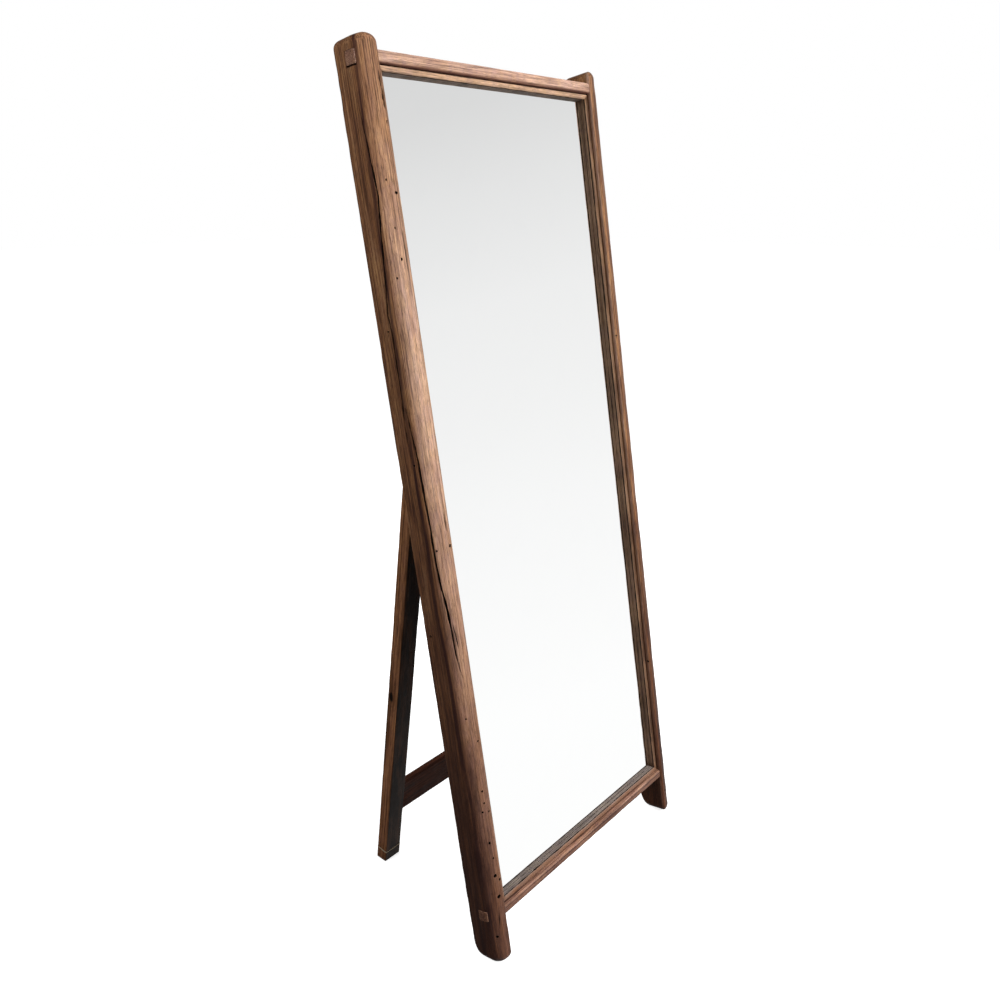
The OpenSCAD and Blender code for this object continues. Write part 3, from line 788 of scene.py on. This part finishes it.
# posts
postValues = {
    "nose": 34 * mm,             # the big rounding of the outer front corner
    "arris": 4 * mm,
    "rubbedArris": 5.5 * mm,     # the right post's inner front edge is more rounded
    "ends": (19 * mm, 18 * mm, 40 * mm, 12 * mm),
    "domeRings": 17,
    "tenonDepth": 22 * mm,
    "mortiseMargin": 0.5 * mm,
    "gapUnderTenon": 3 * mm,
    "mortiseMouth": 9 * mm,      # how deep the mouths of the mortises are cut
    "holeSize": 1.25,            # enlarges every worm and nail hole
    "columns": 150,              # points round the section
    "cuts": (20, 19),            # the long edges are cut in 21, and each piece in 20
    "wear": {"ridge": 3.2 * mm, "ridgeDepth": 0.55 * mm, "dentDepth": 1.3 * mm, "cornerDepth": 2.2 * mm},
}

# splits in the posts: (height, distance round the section) along each one, in metres. The ends thin out over
# fade. On a long split the edges crowd round home and follow it sideways, less and less as far as pull.
leftCracks = [
    {"path": [(0.64, 0.0935), (0.68, 0.0885), (0.73, 0.0865), (0.775, 0.0845), (0.82, 0.0785),
              (0.87, 0.0755), (0.94, 0.075), (1.005, 0.0725), (1.07, 0.0710), (1.12, 0.0665), (1.165, 0.062)],
     "home": 0.077, "pull": 0.016, "width": 5.6 * mm, "depth": 14 * mm, "fade": 0.12, "seed": 3},
    {"path": [(1.05, 0.0575), (1.10, 0.0545), (1.14, 0.0545), (1.18, 0.0565), (1.29, 0.058), (1.33, 0.054),
              (1.36, 0.058), (1.41, 0.063), (1.48, 0.068), (1.53, 0.073), (1.60, 0.069), (1.68, 0.062)],
     "home": 0.0635, "pull": 0.011, "width": 4.7 * mm, "depth": 9 * mm, "fade": 0.16, "seed": 8},
    {"path": [(0.69, 0.096), (0.75, 0.090)], "width": 3 * mm, "depth": 2.5 * mm, "fade": 0.03, "seed": 11},
    {"path": [(0.92, 0.106), (0.97, 0.1075)], "width": 3.4 * mm, "depth": 3 * mm, "fade": 0.03, "seed": 12},
    {"path": [(1.40, 0.1085), (1.47, 0.109)], "width": 3 * mm, "depth": 2.2 * mm, "fade": 0.03, "seed": 13},
    {"path": [(0.08, 0.094), (0.13, 0.096)], "width": 3.6 * mm, "depth": 3 * mm, "fade": 0.03, "seed": 14},
    {"path": [(1.655, 0.1145), (1.685, 0.1105), (1.705, 0.112)],
     "width": 5.5 * mm, "depth": 5 * mm, "fade": 0.02, "seed": 15},
    {"path": [(1.70, 0.1085), (1.735, 0.1075)], "width": 4.5 * mm, "depth": 4 * mm, "fade": 0.02, "seed": 16},
]
rightCracks = [
    {"path": [(0.35, 0.115), (0.55, 0.118), (0.8, 0.122), (1.0, 0.12)],
     "home": 0.118, "pull": 0.014, "width": 3.4 * mm, "depth": 8 * mm, "fade": 0.12, "seed": 23},
    {"path": [(1.25, 0.16), (1.5, 0.162)], "width": 3 * mm, "depth": 2.5 * mm, "fade": 0.05, "seed": 24},
]

# worm and nail holes: (distance round the section, height, radius)
leftHoles = [
    (0.1150, 1.648, 2.6 * mm), (0.0924, 1.556, 1.7 * mm), (0.1074, 1.532, 2.2 * mm),
    (0.0954, 1.476, 1.6 * mm), (0.0852, 1.392, 1.8 * mm), (0.0980, 1.422, 2.0 * mm),
    (0.0990, 0.392, 1.9 * mm), (0.0996, 0.366, 1.7 * mm), (0.0936, 0.348, 1.9 * mm),
    (0.1080, 0.344, 1.7 * mm), (0.0984, 0.276, 2.3 * mm), (0.1014, 0.244, 1.9 * mm),
    (0.1002, 0.204, 3.0 * mm), (0.1100, 0.190, 2.2 * mm), (0.1014, 0.152, 3.4 * mm),
    (0.0846, 0.064, 2.4 * mm), (0.1100, 0.896, 2.4 * mm), (0.0810, 0.892, 1.6 * mm),
    (0.0624, 1.056, 1.8 * mm), (0.0882, 0.552, 1.6 * mm), (0.0350, 0.720, 1.9 * mm),
    (0.0480, 1.300, 1.7 * mm), (0.1060, 0.500, 1.7 * mm),
]
rightHoles = [
    (0.075, 1.61, 2.2 * mm), (0.090, 1.22, 1.8 * mm), (0.085, 0.42, 2.4 * mm), (0.150, 0.9, 1.9 * mm),
    (0.155, 1.4, 2.0 * mm), (0.100, 0.06, 2.3 * mm),
]


def sideStainAndShade(outer):
    # old dark surface on the flat sides, partly painted shade where they turn from the light, a streak where
    # the nose begins, and painted shade growing towards the floor; outer is -1 for the left post and 1 for the
    # right
    def stainAndShade(x, y, z, along, nx, ny):
        patch = cloudy(along * 75 + outer * 9, z * 6, 4)
        lines = cloudy(along * 420 + outer * 5, z * 9, 7)
        side = limit(abs(nx) * 1.5 - 0.5)
        value = side * (0.1 + 0.5 * patch * lines + 0.2 * patch + 0.5 * limit(1.15 - z / 0.95))
        if outer < 0:
            streak = 0.0665 + 0.006 * math.sin(z * 3.3 + 1.2) + 0.004 * waver(z * 7, outer, 1)
            value += 0.9 * math.exp(-((along - streak) / 0.0034) ** 2) * (0.5 + 0.5 * lines)
        # painted shade on the front towards the foot, and the front darker at the top
        front = max(0.0, -ny)
        value += front * (0.2 + 0.5 * patch) * limit(1.25 - z / 0.65)
        value += front * (0.1 + 0.3 * patch) * limit((z - 1.45) / 0.25)
        if outer > 0:
            value = value * 0.55 + front * 0.6 * limit((x - 0.003) / 0.006)
        return value
    return stainAndShade


def frontBleachAndHighlight(outer):
    # the front has been rubbed and sunned pale, partly painted light where it faces the key lamp; on the right
    # post only a painted highlight along the inner front arris near the glass
    def bleachAndHighlight(x, y, z, along, nx, ny):
        high = limit((z - 1.35) / 0.3)
        low = limit(1.1 - z / 0.8)
        amount = limit(-ny * 2.6 - 0.95) * (1 - 0.8 * high) * (1 - 0.5 * low)
        if outer > 0:
            amount = 1.3 * max(0.0, -nx) * math.exp(-((y - 0.006) / 0.0036) ** 2)
        return amount * (0.8 + 0.4 * waver(along * 200, z * 5, 2))
    return bleachAndHighlight


def makePost(name, outer, cracks, holes, seed):
    values = postValues
    low, high = leanedBox(name, frameLean)
    width, depth, length = high - low
    nose, arris = values["nose"], values["arris"]
    radii = (arris, nose, arris, arris) if outer < 0 else (arris, values["rubbedArris"], nose, arris)
    face = 0.0 if outer < 0 else width
    tenons = []
    for rail, gap in (("top_rail", values["gapUnderTenon"]), ("bottom_rail", values["mortiseMargin"])):
        railLow, railHigh = leanedBox(rail, frameLean)
        margin = values["mortiseMargin"]
        tenons.append(((railHigh.y - values["tenonDepth"] - low.y - margin, railLow.z - low.z - gap),
                       (railHigh.y - low.y + margin, railHigh.z - low.z + margin)))
    fronts = nose - math.sqrt(nose ** 2 - (nose - tenons[0][0][0]) ** 2)
    snapPoints = [(abs(face - fronts), tenons[0][0][0]), (face, tenons[0][1][0])]
    look = dict(values, radii=radii, seed=seed, cracks=cracks, snapPoints=snapPoints,
                snapRings=[corner[1] for tenon in tenons for corner in tenon],
                stainAndShade=sideStainAndShade(outer), bleachAndHighlight=frontBleachAndHighlight(outer))
    post = makeBar(name + "_timber", width, depth, length, look)
    for lowCorner, highCorner in tenons:
        cutPocket(post, lowCorner, highCorner, outer, values["mortiseMouth"])
    outline, lengths = barOutline(width, depth, radii)
    marks = []
    for along, height, radius in holes:
        x, y = outlineAt(outline, lengths, along)[:2]
        marks.append((x, y, height, radius * values["holeSize"]))
    drillHoles(post, marks)
    placeBar(post, upright, low, frameLean)
    finishBar(post, "postWood", "mirror_frame", name)


makePost("left_post", -1, leftCracks, leftHoles, 2.0)
makePost("right_post", 1, rightCracks, rightHoles, 41.0)
print("posts made")


# rails with their through tenons
railValues = {
    "radii": (1.5 * mm, 6 * mm, 6 * mm, 1.5 * mm),
    "letIn": 2 * mm,             # the shoulders run a little way into the posts
    "columns": 84, "cuts": (11, 9),
    "wear": {"ridge": 3 * mm, "ridgeDepth": 0.3 * mm, "dentDepth": 0.6 * mm, "cornerDepth": 1.0 * mm},
}
tenonValues = {
    "radii": (2.2 * mm,) * 4,
    "columns": 48, "cuts": (3, 1),
    "wear": {"ridge": 2 * mm, "ridgeDepth": 0.2 * mm, "dentDepth": 0.2 * mm, "cornerDepth": 0.4 * mm},
}
railLooks = {
    "top_rail": {"seed": 5.0, "sunned": 0.9, "band": 0.0, "stained": 0.35, "ridge": 0.0, "endPale": 0.6},
    "bottom_rail": {"seed": 17.0, "sunned": 0.38, "band": 0.95, "stained": 0.8, "ridge": 0.5, "endPale": 0.4},
}


def joinBars(bars):
    clearSelection()
    for bar in bars:
        bar.select_set(True)
    bpy.context.view_layer.objects.active = bars[0]
    bpy.ops.object.join()
    return bars[0]


def makeRail(name, look):
    low, high = leanedBox(name, frameLean)
    postLow, postHigh = leanedBox("left_post", frameLean)
    start, end = postHigh.x, leanedBox("right_post", frameLean)[0].x
    height, depth, seed = high.z - low.z, high.y - low.y, look["seed"]
    nose, tenonDepth, letIn = postValues["nose"], postValues["tenonDepth"], railValues["letIn"]
    front = high.y - tenonDepth - postLow.y

    def follow(x, y):
        # the tenon's end follows the rounded face of the post
        return nose - math.sqrt(nose ** 2 - max(nose - front - y, 0.0) ** 2)

    def railStainAndShade(x, y, z, along, nx, ny):
        # painted shade on the underside and along its front edge; band darkens a line along the front and the
        # lower front; stained adds dark patches
        undersideShade = 0.55 * max(0.0, nx)
        edge = 0.6 * max(0.0, 1 - y / 0.02) * max(0.0, nx) ** 3
        band = look["band"] * math.exp(-((x - 0.0085) / 0.0016) ** 2) * max(0.0, -ny)
        band += 0.4 * look["band"] * limit((x - 0.01) / 0.003) * max(0.0, -ny)
        return undersideShade + edge + band + look["stained"] * max(0.0, waver(z * 9, along * 160, seed))

    def railBleachAndHighlight(x, y, z, along, nx, ny):
        # ridge: a painted highlight along the rounded top arris; sunned: paler wherever the rail does not face
        # down
        ridge = look["ridge"] * math.exp(-((x - 0.0055) / 0.0016) ** 2)
        sunned = look["sunned"] * max(0.0, 1 - max(0.0, nx))
        return ridge + sunned * (0.8 + 0.3 * waver(z * 12, along * 120, seed))

    def endStain(x, y, z, along, nx, ny):
        return 0.08 + 0.35 * waver(x * 260, y * 150, seed)

    def endBleach(x, y, z, along, nx, ny):
        return look["endPale"]

    parts = [makeBar(name + "_timber", height, depth, end - start + 2 * letIn,
                     dict(railValues, seed=seed, stainAndShade=railStainAndShade, bleachAndHighlight=railBleachAndHighlight))]
    placeBar(parts[0], sideways, Vector((start - letIn, low.y, high.z)), frameLean)
    for side, cut, near, far in ((-1, "lowCut", low.x, start), (1, "highCut", end, high.x)):
        endLook = dict(tenonValues, seed=seed + side, stainAndShade=endStain, bleachAndHighlight=endBleach)
        endLook[cut] = follow
        tenon = makeBar(name + "_tenon", height, tenonDepth, far - near, endLook)
        placeBar(tenon, sideways, Vector((near, high.y - tenonDepth, high.z)), frameLean)
        parts.append(tenon)
    finishBar(joinBars(parts), "railWood", "mirror_frame", name)


for name, look in railLooks.items():
    makeRail(name, look)
print("rails made")


# beads round the glass, mitred at the corners
beadValues = {
    "round": 4 * mm,             # its front edges
    "arris": 0.5 * mm,
    "columns": 44, "cuts": (11, 9), "ends": (0, 0, 0, 0), "domeRings": 1,
    "wear": {"ridge": 2.4 * mm, "ridgeDepth": 0.15 * mm, "dentDepth": 0.3 * mm, "cornerDepth": 0.4 * mm},
    "quirk": {"pull": 0.005, "width": 4 * mm, "depth": 3.6 * mm, "fade": 0.001, "wander": 0.0003},
}
# groove: painted shade against the frame; front: how dark the front is; shade: painted shade on the inner
# side; pale: bleaching, on the top bead a painted highlight; the last: painted light on the inner side
beadLooks = {
    "bead_top": {"seed": 60.0, "grooveShade": 0.9, "front": 0.0, "shade": 0.9, "pale": 1.0, "innerPaintedLight": 0.0},
    "bead_bottom": {"seed": 67.0, "grooveShade": 0.0, "front": 0.85, "shade": 0.0, "pale": 0.55, "innerPaintedLight": 0.0},
    "bead_left": {"seed": 74.0, "grooveShade": 0.9, "front": 0.0, "shade": 0.95, "pale": 0.45, "innerPaintedLight": 0.0},
    "bead_right": {"seed": 81.0, "grooveShade": 0.9, "front": 0.4, "shade": 0.3, "pale": 0.1, "innerPaintedLight": 0.5},
}


def makeBead(name, look):
    low, high = leanedBox(name, frameLean)
    size, seed = high - low, look["seed"]
    across = size.x > size.z
    width, length = (size.z, size.x) if across else (size.x, size.z)
    outerFirst = name in ("bead_top", "bead_left")          # which side of the bar lies against the frame
    cut = (lambda x, y: x) if outerFirst else (lambda x, y: width - x)

    def beadStainAndShade(x, y, z, along, nx, ny):
        # painted shade in the groove against the frame, and where the inner side dips towards the glass
        toFrame = x if outerFirst else width - x
        inward = nx if outerFirst else -nx
        grooveShade = look["grooveShade"] * max(0.0, 1 - toFrame / 0.0015)
        patch = cloudy(z * 14, 2, seed)
        shade = look["shade"] * max(0.0, inward) * min(1.0, y / 0.006) * (0.6 + 0.4 * patch)
        speckle = 0.2 * max(0.0, waver(z * 20, along * 200, seed))
        return grooveShade + look["front"] * max(0.0, -ny) + shade + speckle

    def beadBleachAndLight(x, y, z, along, nx, ny):
        inward = max(0.0, nx if outerFirst else -nx)
        # bleaching, on the top bead a painted highlight, and painted light on the right bead's inner side
        return look["pale"] + look["innerPaintedLight"] * inward + 0.3 * waver(z * 10, along * 150, seed)

    arris, rounded = beadValues["arris"], beadValues["round"]
    radii = (arris, rounded, rounded, arris)
    outline, lengths = barOutline(width, size.y, radii)
    edge = nearestAlong(outline, lengths, width if outerFirst else 0.0, rounded + 0.0008)
    quirk = dict(beadValues["quirk"], path=[(-0.01, edge), (length + 0.01, edge)], home=edge, seed=seed)
    bead = makeBar(name + "_moulding", width, size.y, length, dict(
        beadValues, radii=radii, seed=seed, cracks=[quirk], lowCut=cut, highCut=cut,
        stainAndShade=beadStainAndShade, bleachAndHighlight=beadBleachAndLight))
    if across:
        placeBar(bead, sideways, Vector((low.x, low.y, high.z)), frameLean)
    else:
        placeBar(bead, upright, low, frameLean)
    material = "sillWoodSkyGrey" if name == "bead_bottom" else "beadWoodAcross" if across else "beadWood"
    finishBar(bead, material, "mirror_frame", name)


for name, look in beadLooks.items():
    makeBead(name, look)
print("beads made")


# the easel and the wood behind the glass
easelValues = {
    "radii": (1.8 * mm,) * 4,
    "ends": (1.2 * mm,) * 4,
    "leg": {"columns": 88, "cuts": (14, 13)},
    "stretcher": {"columns": 96, "cuts": (9, 9)},
    "footBlock": {"columns": 72, "cuts": (4, 3)},
    "hingeRail": {"columns": 96, "cuts": (9, 9)},
    "strip": {
        "columns": 36, "cuts": (9, 9), "radii": (0.8 * mm,) * 4,
        "wear": {"ridge": 2 * mm, "ridgeDepth": 0.12 * mm, "dentDepth": 0.2 * mm, "cornerDepth": 0.3 * mm},
    },
    "wear": {"ridge": 2.8 * mm, "ridgeDepth": 0.3 * mm, "dentDepth": 0.7 * mm, "cornerDepth": 1.1 * mm},
}


def worn(seed, amount):
    # even staining with darker stretches
    def stainAndShade(x, y, z, along, nx, ny):
        return amount + 0.4 * max(0.0, waver(along * 70 + seed, z * 4, seed))
    return stainAndShade


def frontShade(seed):
    # painted shade on the front of a leg, which faces away from the light towards the back of the frame
    def stainAndShade(x, y, z, along, nx, ny):
        return 0.05 + 0.9 * max(0.0, -ny) + 0.25 * max(0.0, waver(along * 70 + seed, z * 4, seed))
    return stainAndShade


def makeEaselBar(node, label, kind, material, body, leaning, look):
    low, high = leanedBox(node, leaning)
    size = high - low
    across = look.pop("across", False)
    start, end = look.pop("between", (low.x, high.x))
    values = dict(easelValues, **easelValues[kind])
    values.update(look)
    if across:
        bar = makeBar(label, size.z, size.y, end - start, values)
        placeBar(bar, sideways, Vector((start, low.y, high.z)), leaning)
    else:
        bar = makeBar(label, size.x, size.y, size.z, values)
        placeBar(bar, upright, low, leaning)
    finishBar(bar, material, body, node)


openAngle = math.radians(-joint["range_deg"][0])     # the legs' tops are mitred by this to meet the hinge rail
stance = math.radians(-legLean)                      # and their feet by this to stand on the floor
leftLeg, rightLeg = leanedBox("left_leg", legLean), leanedBox("right_leg", legLean)
legDepth = leftLeg[1].y - leftLeg[0].y

for index, side in enumerate(("left", "right")):
    makeEaselBar(side + "_leg", side + "_leg_timber", "leg", "legWood", "easel", legLean, {
        "seed": 80.0 + index * 9, "stainAndShade": frontShade(3.0 + index),
        "highCut": lambda x, y: y * math.tan(openAngle),
    })
    makeEaselBar(side + "_foot_block", side + "_foot_timber", "footBlock", "legWood", "easel", legLean, {
        "seed": 90.0 + index * 9, "stainAndShade": frontShade(5.0 + index),
        "lowCut": lambda x, y: (legDepth - y) * math.tan(stance),
    })

makeEaselBar("stretcher", "stretcher_timber", "stretcher", "stretcherWoodShaded", "easel", legLean, {
    "seed": 120.0, "stainAndShade": worn(4.0, 0.1), "across": True, "between": (leftLeg[1].x, rightLeg[0].x),
})
betweenPosts = (leanedBox("left_post", frameLean)[1].x, leanedBox("right_post", frameLean)[0].x)
makeEaselBar("hinge_rail", "hinge_rail_timber", "hingeRail", "hingeRailWood", "mirror_frame", frameLean, {
    "seed": 130.0, "stainAndShade": worn(6.0, 0.1), "across": True, "between": betweenPosts,
})
for index, place in enumerate(("top", "bottom", "left", "right")):
    across = place in ("top", "bottom")
    wood = "stripWoodAcross" if across else "stripWood"
    makeEaselBar("strip_" + place, "strip_%s_lath" % place, "strip", wood, "mirror_frame", frameLean, {
        "seed": 140.0 + index * 5, "stainAndShade": worn(8.0 + index, 0.0), "across": across,
    })
print("easel, hinge rail and strips made")


# finishes on the pieces that keep their own shape
keptFinishes = {
    "mirror_glass": "silveredGlass", "back_board": "fibreBoard", "strip_brads": "plainSteel",
    "hinge_pins": "hingeSteel", "hinge_rail_screws": "plainSteel", "hinge_leg_screws": "plainSteel",
    "left_hinge_rail_leaf": "hingeSteel", "right_hinge_rail_leaf": "hingeSteel",
    "left_hinge_leg_leaf": "hingeSteel", "right_hinge_leg_leaf": "hingeSteel",
    "left_foot_shim": "paleShim", "right_foot_shim": "paleShim",
}
for node, finish in keptFinishes.items():
    for place in frame["nodes"][node].material_slots:
        place.material = finishes[finish]
print("kept pieces finished:", len(keptFinishes))


# studio
studioValues = {
    "floorSize": 60.0,
    "floorGlow": 0.8,          # how white the floor looks
    "floorBounce": 0.12,       # and how much light it throws back
    "horizonLight": [          # how bright the surroundings are, by the sine of the height
        (-0.32, 1.0), (-0.1, 0.94), (0.0, 0.9), (0.125, 0.863), (0.24, 0.784), (0.32, 0.708), (0.6, 0.6),
    ],
    "brightSide": (0.75, -0.66, 0.0),      # where the surroundings are brightest
    "darkSide": 0.14,                      # and what is left of them on the other side
    "lamps": {
        "key": {"place": (0.55, -2.6, 2.5), "aim": (0, 0, 1.1), "size": 1.5, "watts": 95},
        "leftFill": {"place": (-2.4, 0.4, 2.9), "aim": (-0.2, 0, 1.5), "size": 1.0, "watts": 35},
        "backFill": {"place": (1.7, 2.4, 2.0), "aim": (0, 0.2, 0.9), "size": 1.6, "watts": 40},
    },
}


def addFloor(values):
    # white to the eye, but it throws little light back up at the wood
    clearSelection()
    bpy.ops.mesh.primitive_plane_add(size=values["floorSize"], location=(0, 0, 0))
    floor = bpy.context.object
    floor.name = "floor"
    material, tree, shader = startMaterial("floorPaper")[:3]
    shader.inputs["Base Color"].default_value = (0.8, 0.8, 0.8, 1)
    shader.inputs["Roughness"].default_value = 0.9
    shader.inputs["Emission Color"].default_value = (1, 1, 1, 1)
    shader.inputs["Emission Strength"].default_value = values["floorGlow"]
    dim = addNode(tree, "ShaderNodeBsdfDiffuse", {"Color": (values["floorBounce"],) * 3 + (1,)})
    seen = tree.nodes.new("ShaderNodeLightPath").outputs["Is Camera Ray"]
    blend = addNode(tree, "ShaderNodeMixShader", {0: seen, 1: dim.outputs[0], 2: shader.outputs[0]})
    tree.links.new(blend.outputs[0], tree.nodes["Material Output"].inputs[0])
    floor.data.materials.append(material)
    floor.visible_glossy = False


def addSky(values):
    world = bpy.data.worlds.new("studioLight")
    bpy.context.scene.world = world
    world.use_nodes = True
    tree = world.node_tree
    tree.nodes.clear()
    heading = tree.nodes.new("ShaderNodeTexCoord").outputs["Generated"]
    parts = addNode(tree, "ShaderNodeSeparateXYZ", {0: heading})
    stops = values["horizonLight"]
    reach = stops[-1][0] - stops[0][0]
    rise = spread(tree, parts.outputs[2], stops[0][0], stops[-1][0])
    greys = [((height - stops[0][0]) / reach, (light, light, light, 1)) for height, light in stops]
    facing = vectorMaths(tree, "DOT_PRODUCT", {0: heading, 1: values["brightSide"]}, output=1)
    side = spread(tree, facing, -0.35, 0.45, values["darkSide"], 1.0)
    light = multiply(tree, colourRamp(tree, rise, greys), grey(tree, side))
    seen = addNode(tree, "ShaderNodeLightPath").outputs["Is Camera Ray"]
    shown = mixColour(tree, seen, light, (1, 1, 1, 1))
    background = addNode(tree, "ShaderNodeBackground", {"Color": shown})
    output = tree.nodes.new("ShaderNodeOutputWorld")
    tree.links.new(background.outputs[0], output.inputs[0])


def addLamp(name, values):
    data = bpy.data.lights.new(name, "AREA")
    data.shape = "DISK"
    data.size = values["size"]
    data.energy = values["watts"]
    lamp = bpy.data.objects.new(name, data)
    lamp.location = values["place"]
    aim = Vector(values["aim"]) - Vector(values["place"])
    lamp.rotation_euler = aim.to_track_quat("-Z", "Y").to_euler()
    lamp.visible_camera = False
    lamp.visible_glossy = False
    bpy.context.scene.collection.objects.link(lamp)


addFloor(studioValues)
addSky(studioValues)
for name, values in studioValues["lamps"].items():
    addLamp(name, values)
bpy.context.scene.view_settings.view_transform = "Standard"
print("studio lit")
